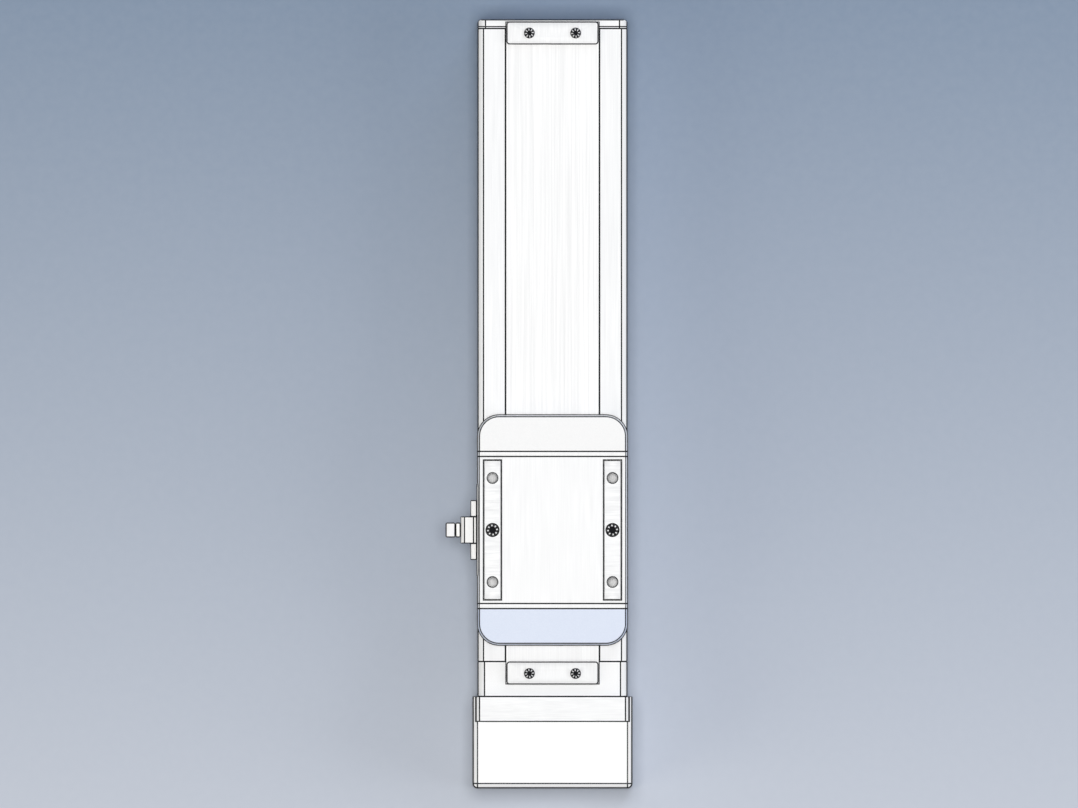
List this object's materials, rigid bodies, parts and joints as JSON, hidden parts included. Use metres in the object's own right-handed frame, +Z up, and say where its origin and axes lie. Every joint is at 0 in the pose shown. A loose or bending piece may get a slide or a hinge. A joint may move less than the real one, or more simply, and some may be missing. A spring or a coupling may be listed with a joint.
{
  "type": "ball screw linear axis",
  "caption": "Covered linear axis: a slider with two mounting pads runs over a wide aluminium base on profile rails, driven by a ball screw with a built-in motor in a hood at one end.",
  "frame": {"origin": "on the mounting face under the base extrusion, on its centre line, at the middle of its length", "axes": "+Y along the travel, away from the drive end; +Z up through the slider; +X to the right seen from the drive end, away from the lubrication port"},
  "size_m": [0.1309, 0.5383, 0.0775],
  "materials": {
    "anodised_body": "fine satin natural anodised",
    "hood_paint": "fine satin white paint",
    "clamp_metal": "milled and natural anodised",
    "strip_steel": "lengthwise brushed stainless spring steel",
    "far_cap_plastic": "white moulded, fine texture",
    "near_cap_plastic": "pale lavender moulded, fine texture",
    "screw_steel": "black oxide",
    "rail_steel": "ground hardened steel",
    "ground_steel": "ground bearing steel",
    "seal_plastic": "dark green moulded",
    "black_rubber": "matt",
    "magnet_compound": "matt plastic-bonded magnet",
    "motor_iron": "stacked electrical sheet",
    "motor_housing": "turned",
    "circuit_board": "green solder resist",
    "socket_plastic": "black moulded",
    "port_metal": "milled and natural anodised",
    "brass_fitting": "bright",
    "cap_plastic": "white moulded"
  },
  "bodies": {
    "root": {"base_extrusion": "anodised_body", "bearing_retainer": "ground_steel", "bumpers": "black_rubber", "clamp_screws": "screw_steel", "drive_board": "circuit_board", "drive_hood": "hood_paint", "drive_plate": "anodised_body", "drive_plate_screws": "screw_steel", "drive_socket": "socket_plastic", "encoder_board": "circuit_board", "end_cap_screws": "screw_steel", "end_seal": "anodised_body", "far_bearing_block": "anodised_body", "far_end_cap": "anodised_body", "far_strip": "strip_steel", "far_strip_clamp": "clamp_metal", "fixed_bearings": "ground_steel", "hood_screws": "screw_steel", "left_rail": "rail_steel", "magnet_strips": "magnet_compound", "motor_can": "motor_housing", "motor_screws": "screw_steel", "motor_stator": "motor_iron", "near_bearing_block": "anodised_body", "near_strip": "strip_steel", "near_strip_clamp": "clamp_metal", "rail_screws": "screw_steel", "right_rail": "rail_steel", "support_bearing": "ground_steel"},
    "slider": {"carriage": "anodised_body", "ball_nut": "ground_steel", "nut_screws": "screw_steel", "guide_block_near_left": "rail_steel", "guide_block_near_right": "rail_steel", "guide_block_far_left": "rail_steel", "guide_block_far_right": "rail_steel", "guide_block_seals": "seal_plastic", "guide_block_screws": "screw_steel", "slider_cover": "anodised_body", "left_pad": "clamp_metal", "right_pad": "clamp_metal", "pad_screws": "screw_steel", "near_seal_plate": "anodised_body", "far_seal_plate": "anodised_body", "near_slider_cap": "near_cap_plastic", "far_slider_cap": "far_cap_plastic", "slider_cap_screws": "screw_steel", "lifted_strip": "strip_steel", "strip_guides": "seal_plastic", "strip_wipers": "black_rubber", "port_plate": "port_metal", "port_body": "port_metal", "port_screws": "screw_steel", "grease_nipple": "brass_fitting", "nipple_cap": "cap_plastic"},
    "screw": {"ball_screw": "ground_steel", "lock_nut": "ground_steel", "retaining_ring": "ground_steel", "motor_rotor": "motor_iron", "encoder_magnet": "magnet_compound"}
  },
  "joints": [
    {"name": "carriage_slide", "type": "slide", "parent": "root", "child": "slider", "axis": [0, 1, 0], "range_m": [-0.004, 0.254], "deforming": ["near_strip", "far_strip"]},
    {"name": "screw_spin", "type": "hinge", "parent": "root", "child": "screw", "pos_m": [0, 0, 0.036], "axis": [0, 1, 0], "range_deg": [-9150, 150]}
  ],
  "couplings": [
    {"joint": "screw_spin", "follows": "carriage_slide", "rad_per_m": -628.32}
  ]
}
